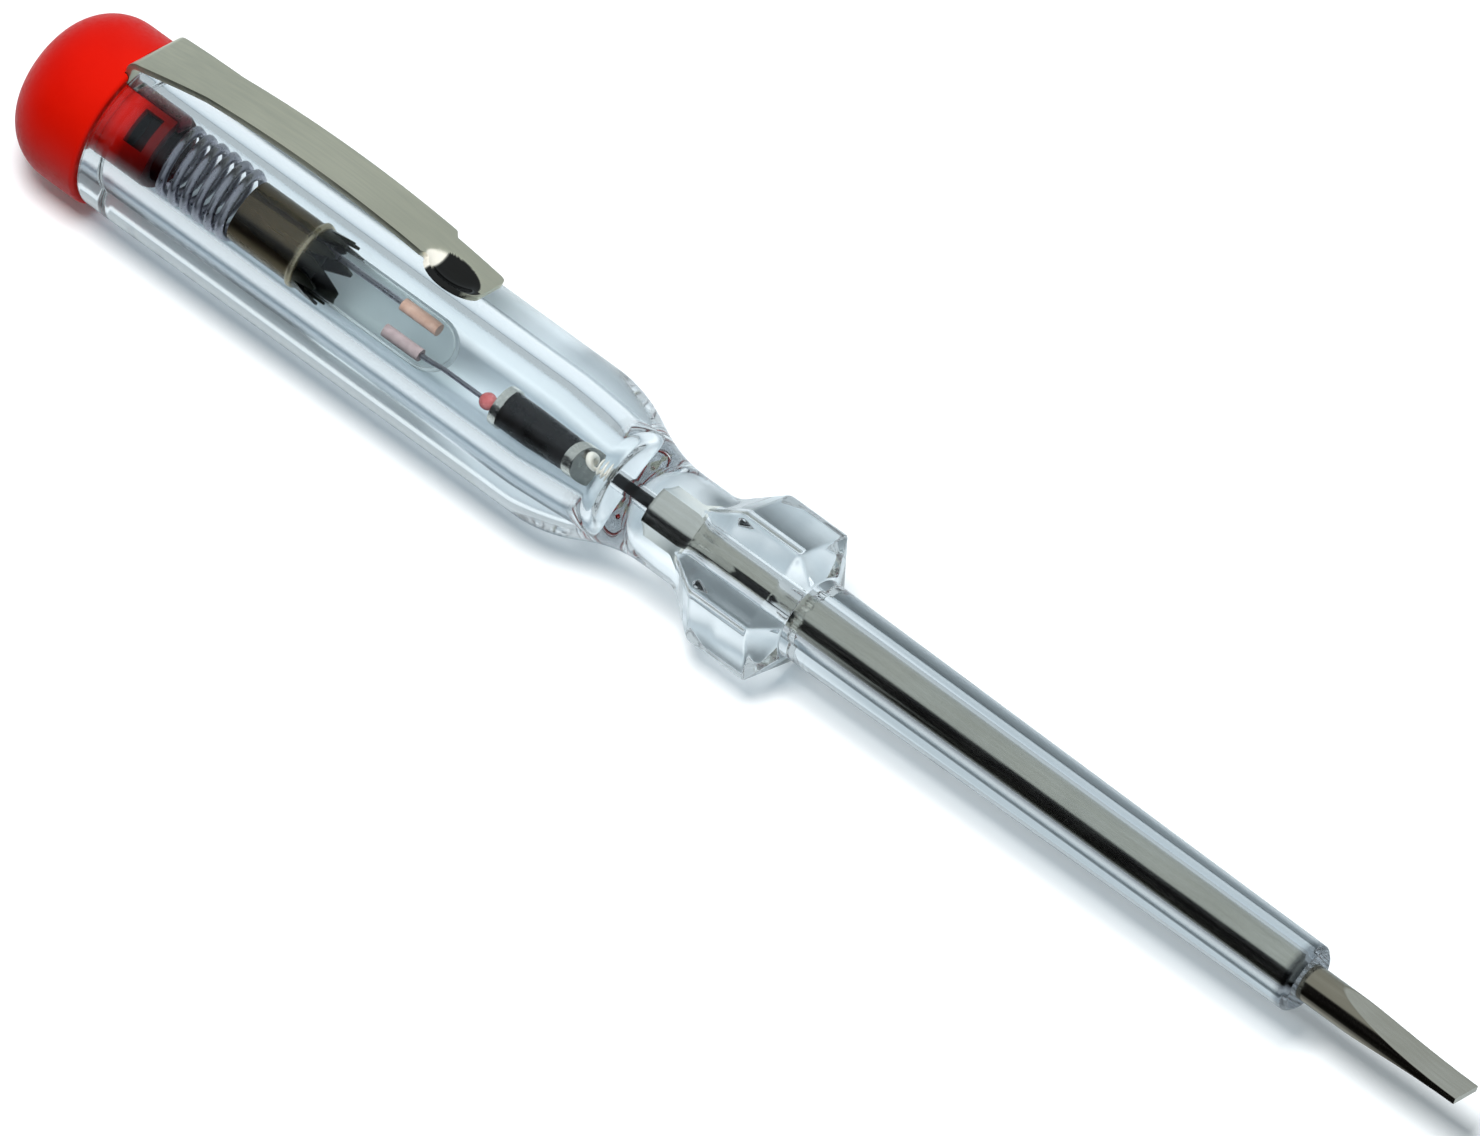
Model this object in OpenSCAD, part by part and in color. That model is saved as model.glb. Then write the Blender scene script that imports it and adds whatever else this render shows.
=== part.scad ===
// Voltage tester screwdriver: a clear moulded handle with a hexagonal anti-roll collar, a clear
// sleeve over the shank, and a lamp, resistor and spring stack held in the bore by a push-in cap.
// It lies on its side: X runs from the cap to the blade tip, and Z is up.

/* [End cap] */
// Diameter of the red end cap
cap_d = 14; // [13.6:0.1:16]
// Rounding between the cap's crown and its straight wall
cap_edge_r = 4.5; // [3:0.1:5.5]
// Rise of the crown beyond the rounding
cap_crown = 0.5; // [0.2:0.1:1.2]
// Rounding of the cap's front rim
cap_rim_r = 0.35; // [0.1:0.05:0.6]
// Length of the cap outside the handle, from its crown to the handle's end face
cap_len = 8.7; // [7:0.1:14]
// Length of the hollow plug that pushes into the handle's bore
plug_len = 4.4; // [3:0.1:8]
// Wall of the hollow plug
plug_wall = 0.85; // [0.6:0.05:1.2]
// Length of the window in the side of the plug
window_len = 1.8; // [0.8:0.1:2.4]
// Width of the window in the side of the plug
window_w = 2.4; // [0.8:0.1:3]

/* [Handle] */
// Diameter of the straight barrel
handle_d = 13.4; // [12:0.1:15]
// Length of the straight barrel
barrel_len = 43.4; // [36:0.1:60]
// Length of the waist curve from the barrel to the neck
waist_len = 10.6; // [7:0.1:20]
// Diameter of the neck behind the collar
neck_d = 8.1; // [7.6:0.1:10]
// Length of the neck between the waist curve and the collar
neck_len = 3.3; // [1:0.1:8]
// Diameter of the bore for the lamp stack
bore_d = 6.5; // [6.1:0.1:7.5]
// Rounding of the handle's rear edge
handle_edge_r = 0.6; // [0.5:0.05:1]

/* [Collar] */
// Width of the hexagonal collar across its flats
collar_af = 11.6; // [10.6:0.1:14]
// Length of the collar's sloped rear flank
collar_rear_len = 3.2; // [0.5:0.1:5]
// Length of the collar's hexagonal rim
collar_rim_len = 5.6; // [4:0.1:12]
// Length of the collar's sloped front flank
collar_front_len = 1.3; // [0.5:0.1:4]
// Angle of the collar's flats round the tool, from straight up
collar_angle = 30; // [0:1:60]

/* [Sleeve] */
// Length of the sleeve in front of the collar
sleeve_len = 48.8; // [20:0.1:80]
// Diameter of the sleeve at the collar
sleeve_root_d = 6.7; // [6:0.1:8]
// Diameter of the sleeve at its front end
sleeve_end_d = 5.7; // [4.2:0.1:6]
// Diameter of the spigot that seats in the collar
spigot_d = 5.2; // [4.2:0.1:5.6]
// Length of the spigot that seats in the collar
spigot_len = 3; // [1:0.1:5]
// Chamfer of the sleeve's front edge
sleeve_chamfer = 0.4; // [0.1:0.05:0.6]

/* [Blade] */
// Diameter of the shank
shank_d = 3; // [2:0.1:3.6]
// Length of bare shank and blade in front of the sleeve
blade_len = 15.1; // [13:0.1:30]
// Length of the ground blade faces
grind_len = 12.4; // [8:0.1:12.8]
// Radius of the grinding wheel that hollows the blade faces
grind_r = 62; // [45:1:300]
// Thickness of the blade at its tip
tip_t = 0.5; // [0.3:0.05:1]
// Angle of the blade's face round the tool, from straight up
blade_angle = 24; // [-90:1:90]
// Length of the swaged wings that key the shank in the handle
wing_len = 4.6; // [3:0.1:9]
// Width across the swaged wings
wing_w = 3.8; // [3.4:0.1:4.4]
// Thickness of the swaged wings
wing_t = 2.3; // [1.6:0.1:2.6]
// Diameter of the contact tail behind the wings
tail_d = 1; // [0.8:0.1:1.6]
// Length of the contact tail behind the wings
tail_len = 3.9; // [2:0.1:6]
// Length of the contact tail that stands into the bore
tail_reach = 0.2; // [0.1:0.05:1]

/* [Clip] */
// Width of the clip's strip
clip_w = 4.5; // [3.6:0.1:6]
// Width of the clip at its bend
clip_root_w = 6; // [4:0.1:6.4]
// Length over which the strip narrows in front of its bend
clip_taper = 6; // [2:0.1:15]
// Thickness of the clip's sheet
clip_t = 0.5; // [0.3:0.05:0.8]
// End of the clip, measured from the handle's end face
clip_reach = 33.4; // [25:0.1:36]
// Height of the strip's bend over the handle
clip_lift = 0.35; // [0.1:0.05:0.6]
// Rise of the strip's arch over its bend
clip_rise = 1.4; // [0.6:0.1:2.5]
// Distance of the arch's highest place from the handle's end face
clip_crest = 17.8; // [14:0.1:20]
// Angle of the clip round the tool, from straight up
clip_angle = 21; // [-90:1:90]
// Outer radius of the bend at the clip's root
clip_bend_r = 0.9; // [0.8:0.05:1.5]
// Diameter of the ring trapped between cap and handle
clip_ring_d = 11.6; // [9:0.1:12]
// Length of the narrow tongue at the clip's end
tongue_len = 5; // [4:0.1:8]
// Width of the narrow tongue at the clip's end
tongue_w = 3.3; // [2.6:0.1:4]
// Distance of the dimple's middle from the clip's end
dimple_at = 3; // [2.7:0.1:5]
// Length of the pressed dimple
dimple_len = 5.3; // [3:0.1:6]
// Width of the pressed dimple
dimple_w = 3.4; // [2.4:0.1:4]
// Distance of the dimple from the strip's middle, towards its low side
dimple_side = 1.5; // [0:0.1:1.6]
// Width of the contact leaf that runs along the plug
leaf_w = 1.6; // [0.8:0.1:2]
// Thickness of the contact leaf
leaf_t = 0.35; // [0.2:0.05:0.5]

/* [Springs] */
// Outside diameter of the rear spring
spring_d = 6; // [4.8:0.1:6]
// Wire of the rear spring
spring_wire = 0.5; // [0.3:0.05:0.55]
// Length of the rear spring, as fitted
spring_len = 7.7; // [6.8:0.1:12]
// Turns of the rear spring
spring_turns = 5.4; // [3:0.1:5.5]
// Outside diameter of the contact coil
coil_d = 1.3; // [1.1:0.05:1.5]
// Wire of the contact coil
coil_wire = 0.4; // [0.25:0.05:0.45]
// Length of the contact coil, as fitted
coil_len = 4.4; // [4:0.1:6]
// Turns of the contact coil
coil_turns = 3.1; // [2:0.1:3.2]

/* [Lamp and resistor] */
// Diameter of the metal lamp cap
lamp_cap_d = 5.2; // [4.6:0.1:5.4]
// Length of the lamp cap up to its rolled rim
lamp_cap_len = 6.4; // [4:0.1:9]
// Wall of the lamp cap
lamp_cap_wall = 0.25; // [0.15:0.05:0.35]
// Length of the flared crown of teeth
crown_len = 2.3; // [1:0.1:3]
// Number of teeth in the crown
crown_teeth = 14; // [8:1:18]
// Flare of the crown beyond the cap's wall
crown_flare = 0.2; // [0:0.05:0.25]
// Gap between the lamp cap and the glass, filled with cement
cement_gap = 0.15; // [0.1:0.05:0.3]
// Length of the glass envelope
glass_len = 19.9; // [18.6:0.1:26]
// Wall of the glass envelope
glass_wall = 0.35; // [0.2:0.05:0.6]
// Diameter of an electrode
electrode_d = 0.9; // [0.5:0.05:1]
// Distance of the electrodes from the lamp cap's rear face
electrode_at = 14.4; // [11:0.1:14.5]
// Length of an electrode
electrode_len = 3.5; // [2:0.1:3.6]
// Distance of the electrodes from the lamp's axis
electrode_offset = 1; // [0.8:0.05:1.1]
// Diameter of the lead wires
lead_d = 0.4; // [0.2:0.05:0.5]
// Diameter of the coloured seal bead on the front lead
bead_d = 1.4; // [0.9:0.05:1.6]
// Length of the free lead between the glass and the resistor
lead_len = 5; // [2:0.1:8]
// Diameter of the resistor's body
resistor_d = 3.3; // [2.8:0.1:4.4]
// Length of the resistor over its end caps
resistor_len = 6.9; // [4:0.1:10]
// Length of a resistor end cap
resistor_cap_len = 0.7; // [0.6:0.05:1.6]
// Wall of a resistor end cap
resistor_cap_wall = 0.2; // [0.1:0.05:0.4]

/* [Fits] */
// Radial clearance of the plug in the bore
plug_fit = 0.05; // [0.02:0.01:0.1]
// Radial clearance of parts that are pressed or moulded together
press_fit = 0.02; // [0.01:0.005:0.04]
// Clearance between the clip and what it lies against
clip_fit = 0.1; // [0.05:0.01:0.2]

/* [Hidden] */
$fn = 64;
// Overshoot of a cutter past the face that it opens
cut = 1;
// Length over which two stretches of one piece run into each other
lap = 0.5;
// Rings of points along a wound wire, for each turn and for the bend at each end
rings_per_turn = 9;
rings_per_bend = 4;

cap_r = cap_d / 2;
handle_r = handle_d / 2;
neck_r = neck_d / 2;
bore_r = bore_d / 2;
shank_r = shank_d / 2;
plug_r = bore_r - plug_fit;

// Stations along the tool, measured from the cap's crown
at_barrel = cap_len;
at_waist = at_barrel + barrel_len;
at_neck = at_waist + waist_len;
at_collar = at_neck + neck_len;
at_rim = at_collar + collar_rear_len;
at_rim_end = at_rim + collar_rim_len;
at_sleeve = at_rim_end + collar_front_len;
at_sleeve_end = at_sleeve + sleeve_len;
at_tip = at_sleeve_end + blade_len;
at_plug_end = at_barrel + plug_len;
at_spring = at_plug_end + leaf_t;
at_lamp = at_spring + spring_len;
at_crown = at_lamp + lamp_cap_len;
at_glass = at_lamp + lamp_cap_wall + 2 * press_fit;
at_glass_end = at_glass + glass_len;
at_resistor = at_glass_end + lead_len;
at_coil = at_resistor + resistor_len;
at_tail = at_coil + coil_len;
at_wings = at_tail + tail_len;
at_shank = at_wings + wing_len;
at_bore_end = at_tail + tail_reach;
at_grind = at_tip - grind_len;

// Electrodes stand side by side as seen from the front, each fed by its own lead
electrode_angle = 60;
window_angle = -26;
at_electrodes = at_lamp + electrode_at;

// The waist is two equal arcs that meet half way with one tangent
waist_drop = handle_r - neck_r;
waist_r = (waist_len ^ 2 + waist_drop ^ 2) / (4 * waist_drop);

// The cap's crown is part of a ball that runs into the round edge with one tangent
cap_dome = cap_edge_r + cap_crown;
crown_r = ((cap_r - cap_edge_r) ^ 2 + cap_dome ^ 2 - cap_edge_r ^ 2) / (2 * cap_crown);

// The strip is one arc from its bend to its end
at_strip = cap_len - clip_t + clip_bend_r;
at_strip_end = at_barrel + clip_reach;
strip_foot = handle_r + clip_lift;
at_crest = at_barrel + clip_crest;
arch_r = ((at_crest - at_strip) ^ 2 + clip_rise ^ 2) / (2 * clip_rise);
arch_axis = strip_foot + clip_rise - arch_r;

// The dimple is part of a lemon shape that just clears the handle
at_dimple = at_strip_end - dimple_at;
dimple_plane = arch_axis + sqrt((arch_r + clip_t / 2) ^ 2 - (at_dimple - at_crest) ^ 2);
dimple_depth = dimple_plane - handle_r - clip_fit;
dimple_radius = ((dimple_w / 2) ^ 2 + dimple_depth ^ 2) / (2 * dimple_depth);
dimple_arc_r = ((dimple_len / 2) ^ 2 + dimple_depth ^ 2) / (2 * dimple_depth);

glass_r = lamp_cap_d / 2 - lamp_cap_wall - cement_gap;
// The resistor lies on the bottom of the bore
resistor_drop = bore_r - resistor_d / 2 - resistor_cap_wall - 2 * plug_fit;
spring_mean_r = (spring_d - spring_wire) / 2;
coil_mean_r = (coil_d - coil_wire) / 2;

// A path wound on a cylinder, its ends turned to run straight along the axis.
// Each point is [distance along the axis, distance wound round the cylinder].
function wound_path(len, mean_r, wire, turns) =
    let (
        straight = wire,
        bend_r = 1.2 * wire,
        wound = turns * 2 * PI * mean_r,
        slope = atan2(len - 2 * straight - 2 * bend_r, wound),
        steps = ceil(turns * rings_per_turn),
        bend = [for (i = [0:rings_per_bend]) i / rings_per_bend * (90 - slope)],
        rise = [for (a = bend) [straight + bend_r * sin(a), bend_r * (1 - cos(a))]],
        first = rise[rings_per_bend],
        last = [len - first.x, wound - first.y],
        helix = [for (i = [1:steps - 1]) first + (last - first) * i / steps],
        fall = [for (i = [rings_per_bend:-1:0]) [len - rise[i].x, wound - rise[i].y]]
    )
    concat([[0, 0]], rise, helix, fall, [[len, wound]]);

function wrap(p, mean_r) =
    let (a = p.y / mean_r * 180 / PI)
    [mean_r * cos(a), mean_r * sin(a), p.x];

// Direction of travel on the unrolled cylinder at point i
function heading(path, i) =
    let (
        before = path[max(i - 1, 0)],
        after = path[min(i + 1, len(path) - 1)],
        step = after - before
    )
    step / norm(step);

// Ring of points round the wire at point i, square to its path
function wire_ring(path, i, mean_r, wire, sides) =
    let (
        centre = wrap(path[i], mean_r),
        a = path[i].y / mean_r * 180 / PI,
        out = [cos(a), sin(a), 0],
        round = [-sin(a), cos(a), 0],
        go = heading(path, i),
        side = go.x * round - go.y * [0, 0, 1]
    )
    [for (k = [0:sides - 1])
        centre + wire / 2 * (cos(360 * k / sides) * out + sin(360 * k / sides) * side)];

// Least gap between stretches of the wire that are at least three quarters of a turn apart
function least_gap(path, mean_r, wire) =
    let (points = [for (p = path) wrap(p, mean_r)])
    min([for (i = [0:len(path) - 1], j = [i + 1:1:len(path) - 1])
        if (path[j].y - path[i].y > 1.5 * PI * mean_r) norm(points[i] - points[j])]) - wire;

// One unbroken wire along a wound path
module wound_wire(len, mean_r, wire, turns) {
    sides = 6;
    path = wound_path(len, mean_r, wire, turns);
    echo(least_gap_mm = least_gap(path, mean_r, wire));
    rings = len(path);
    points = [for (i = [0:rings - 1]) each wire_ring(path, i, mean_r, wire, sides)];
    tube_faces = [for (i = [0:rings - 2], k = [0:sides - 1])
        let (
            n = (k + 1) % sides,
            a = i * sides + k,
            b = i * sides + n,
            c = a + sides,
            d = b + sides
        )
        each [[a, c, b], [b, c, d]]];
    rear_face = [for (k = [1:sides - 2]) [0, k, k + 1]];
    top = (rings - 1) * sides;
    front_face = [for (k = [1:sides - 2]) [top, top + k + 1, top + k]];
    polyhedron(points, concat(tube_faces, rear_face, front_face));
}

// Lays a part drawn along Z, with its top towards +X, down along the tool's axis
module place() {
    translate([-at_tip / 2, 0, cap_r]) rotate([0, 90, 0]) rotate([0, 0, 180]) children();
}

// Turns a part drawn with its top towards +X round the tool by an angle from straight up
module turned(angle) {
    rotate([0, 0, -angle]) children();
}

// Extrudes an outline of [height, station] across the tool
module across(width) {
    rotate([90, 0, 0]) linear_extrude(width, center = true) children();
}

// Extrudes an outline of [sideways, station] upwards from a height
module upward(from, height) {
    translate([from, 0, 0]) rotate([90, 0, 90]) linear_extrude(height) children();
}

// A round bar between two stations
module bar(radius, from, to) {
    translate([0, 0, from]) cylinder(r = radius, h = to - from);
}

module cap_outline() {
    centre = [cap_r - cap_edge_r, cap_dome];
    crown = [0, crown_r];
    ray = (centre - crown) / norm(centre - crown);
    beyond = cap_r + cut;
    difference() {
        intersection() {
            translate(crown) circle(crown_r, $fn = 128);
            square([cap_r, cap_dome]);
        }
        // Corner outside the round edge
        difference() {
            polygon([centre, crown + ray * (crown_r + cap_r), [beyond, -cap_r], [beyond, cap_dome]]);
            translate(centre) circle(cap_edge_r, $fn = 128);
        }
    }
    translate([0, cap_dome]) {
        square([cap_r, cap_len - cap_rim_r - cap_dome]);
        square([cap_r - cap_rim_r, cap_len - cap_dome]);
    }
    translate([cap_r - cap_rim_r, cap_len - cap_rim_r]) circle(cap_rim_r);
}

module end_cap() {
    ring_r = clip_ring_d / 2 + clip_fit;
    hollow_r = plug_r - plug_wall;
    color([0.9, 0.1, 0.02]) place() difference() {
        union() {
            difference() {
                rotate_extrude() cap_outline();
                // Recess for the clip's ring, with a notch that lets its root out through the rim
                turned(clip_angle) translate([0, 0, cap_len - clip_t]) linear_extrude(clip_t + cut) {
                    circle(ring_r);
                    translate([0, -clip_root_w / 2 - clip_fit])
                        square([cap_r + cut, clip_root_w + 2 * clip_fit]);
                }
            }
            bar(plug_r, cap_len - clip_t - lap, at_plug_end);
        }
        // Hollow of the plug, open to the front
        bar(hollow_r, cap_len + clip_t, at_plug_end + cut);
        // Window in the plug's side
        turned(window_angle)
            translate([0, -window_w / 2, at_plug_end - plug_wall - window_len])
                cube([bore_r + cut, window_w, window_len]);
        // Groove along the plug for the contact leaf
        turned(clip_angle)
            translate([plug_r - leaf_t - clip_fit, -leaf_w / 2 - clip_fit, cap_len - clip_t])
                cube([leaf_t + clip_fit + cut, leaf_w + 2 * clip_fit, plug_len + clip_t + cut]);
    }
}

module handle_outline() {
    difference() {
        translate([0, at_barrel]) square([handle_r, barrel_len]);
        translate([handle_r - handle_edge_r, at_barrel]) difference() {
            square(handle_edge_r);
            translate([0, handle_edge_r]) circle(handle_edge_r);
        }
    }
    intersection() {
        translate([handle_r - waist_r, at_waist]) circle(waist_r, $fn = 128);
        translate([0, at_waist]) square([handle_r, waist_len / 2]);
    }
    difference() {
        translate([0, at_waist + waist_len / 2]) square([handle_r, waist_len / 2]);
        translate([neck_r + waist_r, at_neck]) circle(waist_r, $fn = 128);
    }
    translate([0, at_neck]) square([neck_r, at_rim - at_neck]);
}

// Six flats with a sloped flank at each end of every flat
module collar_hexagon() {
    rear = neck_r * cos(30);
    flat = collar_af / 2;
    front = sleeve_root_d / 2;
    half = [[rear, at_collar], [flat, at_rim], [flat, at_rim_end], [front, at_sleeve]];
    intersection_for (i = [0:2]) turned(collar_angle + 60 * i) across(2 * collar_af)
        polygon(concat(half, [for (k = [3:-1:0]) [-half[k].x, half[k].y]]));
}

module handle() {
    color([0.85, 0.92, 0.95, 0.4]) place() difference() {
        union() {
            rotate_extrude() handle_outline();
            collar_hexagon();
        }
        bar(bore_r, at_barrel - cut, at_bore_end);
        shank_blank(press_fit);
        bar(spigot_d / 2 + press_fit, at_sleeve - spigot_len, at_sleeve + cut);
    }
}

module shank_sleeve() {
    root_r = sleeve_root_d / 2;
    end_r = sleeve_end_d / 2;
    color([0.85, 0.92, 0.95, 0.4]) place() difference() {
        union() {
            bar(spigot_d / 2, at_sleeve - spigot_len, at_sleeve + lap);
            rotate_extrude() polygon([[0, at_sleeve], [root_r, at_sleeve],
                [end_r, at_sleeve_end - sleeve_chamfer],
                [end_r - sleeve_chamfer, at_sleeve_end], [0, at_sleeve_end]]);
        }
        bar(shank_r + press_fit, at_sleeve - spigot_len - cut, at_sleeve_end + cut);
    }
}

// Round shank with swaged wings and a thin contact tail, grown all round by a clearance
module shank_blank(grow) {
    bar(tail_d / 2 + grow, at_tail, at_wings + lap);
    turned(electrode_angle) intersection() {
        bar(wing_w / 2 + grow, at_wings, at_shank);
        translate([-wing_t / 2 - grow, -wing_w, at_wings])
            cube([wing_t + 2 * grow, 2 * wing_w, wing_len]);
    }
    bar(shank_r + grow, at_shank - lap, at_tip);
}

// Grinding wheel that hollows one face of the blade
module grinding_wheel() {
    start = [shank_r, at_grind];
    end = [tip_t / 2, at_tip];
    chord = end - start;
    half = norm(chord) / 2;
    out = [chord.y, -chord.x] / norm(chord);
    centre = (start + end) / 2 + out * sqrt(grind_r ^ 2 - half ^ 2);
    translate([centre.x, 0, centre.y]) rotate([90, 0, 0])
        cylinder(r = grind_r, h = 2 * shank_d, center = true, $fn = 256);
}

module blade_shank() {
    color([0.62, 0.62, 0.58]) place() difference() {
        shank_blank(0);
        for (side = [0, 180]) turned(blade_angle + side) grinding_wheel();
    }
}

// Ring round the plug's root, its tab bent forward over the handle, and the contact leaf
module clip_root() {
    rear = cap_len - clip_t;
    top = strip_foot + clip_t;
    bend = top - clip_bend_r;
    leaf_top = plug_r - clip_fit / 2;
    color([0.66, 0.66, 0.6]) place() turned(clip_angle) {
        difference() {
            union() {
                bar(clip_ring_d / 2, rear, cap_len);
                translate([plug_r, -clip_root_w / 2, rear]) cube([bend - plug_r, clip_root_w, clip_t]);
            }
            bar(plug_r + plug_fit, rear - cut, cap_len + cut);
        }
        across(clip_root_w) intersection() {
            translate([bend, rear + clip_bend_r]) difference() {
                circle(clip_bend_r);
                circle(clip_bend_r - clip_t);
            }
            translate([bend, rear]) square([clip_bend_r, clip_bend_r]);
        }
        across(leaf_w) {
            translate([leaf_top - leaf_t, rear]) square([2 * leaf_t, clip_t]);
            translate([leaf_top - leaf_t, rear]) square([leaf_t, at_spring - rear]);
            translate([plug_r - plug_wall, at_plug_end])
                square([leaf_top - plug_r + plug_wall, leaf_t]);
        }
    }
}

module arched_leaf() {
    intersection() {
        translate([arch_axis, at_crest]) difference() {
            circle(arch_r + clip_t, $fn = 256);
            circle(arch_r, $fn = 256);
        }
        translate([strip_foot - clip_t, at_strip])
            square([clip_rise + 3 * clip_t, at_strip_end - at_strip]);
    }
}

// Plan of the strip: it narrows from its bend, and a shoulder leads to the tongue with clipped corners
module strip_plan() {
    slope = (clip_w - tongue_w) / 2;
    corner = tongue_w / 6;
    at_tongue = at_strip_end - tongue_len;
    half = [[clip_root_w / 2, at_strip], [clip_w / 2, at_strip + clip_taper],
        [clip_w / 2, at_tongue - slope], [tongue_w / 2, at_tongue],
        [tongue_w / 2, at_strip_end - corner], [tongue_w / 2 - corner, at_strip_end]];
    polygon(concat(half, [for (k = [len(half) - 1:-1:0]) [-half[k].x, half[k].y]]));
}

// Lemon shape whose underside is the dimple, less a wall
module dimple_lemon(wall) {
    translate([dimple_plane - dimple_depth + dimple_radius, dimple_side, at_dimple]) rotate_extrude()
        intersection() {
            translate([dimple_radius - dimple_arc_r, 0]) circle(dimple_arc_r - wall, $fn = 128);
            translate([0, -dimple_len]) square([dimple_radius, 2 * dimple_len]);
        }
}

module clip_strip() {
    color([0.66, 0.66, 0.6]) place() turned(clip_angle) difference() {
        union() {
            intersection() {
                across(2 * clip_root_w) arched_leaf();
                upward(0, 2 * cap_d) strip_plan();
            }
            intersection() {
                dimple_lemon(0);
                translate([0, dimple_side - dimple_w, at_dimple - dimple_len])
                    cube([dimple_plane, 2 * dimple_w, 2 * dimple_len]);
            }
        }
        dimple_lemon(clip_t);
    }
}

module rear_spring() {
    color([0.7, 0.7, 0.68]) place() turned(clip_angle)
        translate([0, 0, at_spring]) wound_wire(spring_len, spring_mean_r, spring_wire, spring_turns);
}

// Cup with a rolled rim and a flared crown of pointed teeth
module lamp_cap() {
    outer = lamp_cap_d / 2;
    inner = outer - lamp_cap_wall;
    tooth_w = 2 * PI * outer / crown_teeth;
    color([0.55, 0.48, 0.34]) place() difference() {
        rotate_extrude() {
            translate([0, at_lamp]) square([outer, lamp_cap_wall]);
            translate([inner, at_lamp]) square([lamp_cap_wall, lamp_cap_len]);
            translate([outer, at_crown - lamp_cap_wall]) circle(lamp_cap_wall);
            polygon([[inner, at_crown], [outer, at_crown],
                [outer + crown_flare, at_crown + crown_len],
                [inner + crown_flare, at_crown + crown_len]]);
        }
        for (i = [0:crown_teeth - 1]) rotate([0, 0, 360 * i / crown_teeth])
            upward(inner - cut, lamp_cap_wall + crown_flare + 2 * cut)
                polygon([[0, at_crown + crown_len / 8],
                    [tooth_w / 2, at_crown + crown_len + cut / 4],
                    [-tooth_w / 2, at_crown + crown_len + cut / 4]]);
        bar(glass_r + press_fit, at_lamp + lamp_cap_wall, at_crown + crown_len + cut);
        turned(electrode_angle) translate([electrode_offset, 0, 0])
            bar(lead_d / 2 + press_fit, at_lamp + lamp_cap_wall, at_glass);
    }
}

module lamp_cement() {
    outer = lamp_cap_d / 2 - lamp_cap_wall - press_fit;
    color([0.3, 0.3, 0.3]) place() difference() {
        bar(outer, at_glass + cement_gap, at_crown);
        bar(glass_r + press_fit, at_glass, at_crown + cut);
    }
}

// Sealed tube: a solid press at the rear and a thick round end at the front
module lamp_glass() {
    cavity_r = glass_r - glass_wall;
    cavity_end = at_glass_end - glass_r - glass_wall / 2;
    color([0.9, 0.95, 0.95, 0.4]) place() difference() {
        rotate_extrude() {
            translate([0, at_glass]) square([glass_r, glass_len - glass_r]);
            intersection() {
                translate([0, at_glass_end - glass_r]) circle(glass_r);
                translate([0, at_glass_end - 2 * glass_r]) square([glass_r, 2 * glass_r]);
            }
        }
        rotate_extrude() {
            translate([0, at_glass + 4 * glass_wall])
                square([cavity_r, cavity_end - at_glass - 4 * glass_wall]);
            intersection() {
                translate([0, cavity_end]) circle(cavity_r);
                translate([0, cavity_end]) square([cavity_r, cavity_r]);
            }
        }
        turned(electrode_angle) translate([electrode_offset, 0, 0])
            bar(lead_d / 2 + press_fit, at_glass - cut, at_electrodes);
        turned(electrode_angle) translate([-electrode_offset, 0, 0])
            bar(lead_d / 2 + press_fit, at_electrodes, at_glass_end + cut);
    }
}

module electrode(side) {
    turned(electrode_angle) translate([side * electrode_offset, 0, 0])
        bar(electrode_d / 2, at_electrodes, at_electrodes + electrode_len);
}

module electrode_rear() {
    color([0.85, 0.55, 0.45]) place() electrode(1);
}

module electrode_front() {
    color([0.85, 0.62, 0.6]) place() electrode(-1);
}

module lead_rear() {
    color([0.6, 0.58, 0.55]) place() turned(electrode_angle) translate([electrode_offset, 0, 0])
        bar(lead_d / 2, at_lamp + lamp_cap_wall, at_electrodes);
}

module lead_front() {
    color([0.6, 0.58, 0.55]) place() turned(electrode_angle) translate([-electrode_offset, 0, 0])
        bar(lead_d / 2, at_electrodes + electrode_len, at_resistor);
}

// Bead on the front lead, against the resistor
module seal_bead() {
    color([0.75, 0.25, 0.2]) place() turned(electrode_angle)
        translate([-electrode_offset, 0, at_resistor - bead_d / 2 - press_fit]) difference() {
            sphere(bead_d / 2);
            cylinder(r = lead_d / 2 + press_fit, h = 2 * bead_d, center = true);
        }
}

module resistor_body() {
    color([0.06, 0.06, 0.06]) place() translate([-resistor_drop, 0, 0])
        bar(resistor_d / 2, at_resistor + resistor_cap_wall, at_coil - resistor_cap_wall);
}

// Cup pressed over one end of the resistor, its closed end at the given station
module resistor_cup(closed, inward) {
    from = min(closed, closed + inward * resistor_cap_len);
    seat = closed + inward * resistor_cap_wall;
    mouth = closed + inward * (resistor_cap_len + cut);
    difference() {
        bar(resistor_d / 2 + resistor_cap_wall, from, from + resistor_cap_len);
        bar(resistor_d / 2 + press_fit, min(seat, mouth), max(seat, mouth));
    }
}

module resistor_rear_cap() {
    color([0.6, 0.58, 0.55]) place() translate([-resistor_drop, 0, 0]) resistor_cup(at_resistor, 1);
}

module resistor_front_cap() {
    color([0.75, 0.75, 0.72]) place() translate([-resistor_drop, 0, 0]) resistor_cup(at_coil, -1);
}

module contact_coil() {
    color([0.75, 0.75, 0.72]) place() turned(180)
        translate([0, 0, at_coil]) wound_wire(coil_len, coil_mean_r, coil_wire, coil_turns);
}

handle();
shank_sleeve();
blade_shank();
end_cap();
clip_root();
clip_strip();
rear_spring();
lamp_cap();
lamp_cement();
lamp_glass();
electrode_rear();
electrode_front();
lead_rear();
lead_front();
seal_bead();
resistor_body();
resistor_rear_cap();
resistor_front_cap();
contact_coil();
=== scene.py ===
import bmesh
import bpy
import math
from mathutils import Matrix, Vector


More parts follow.
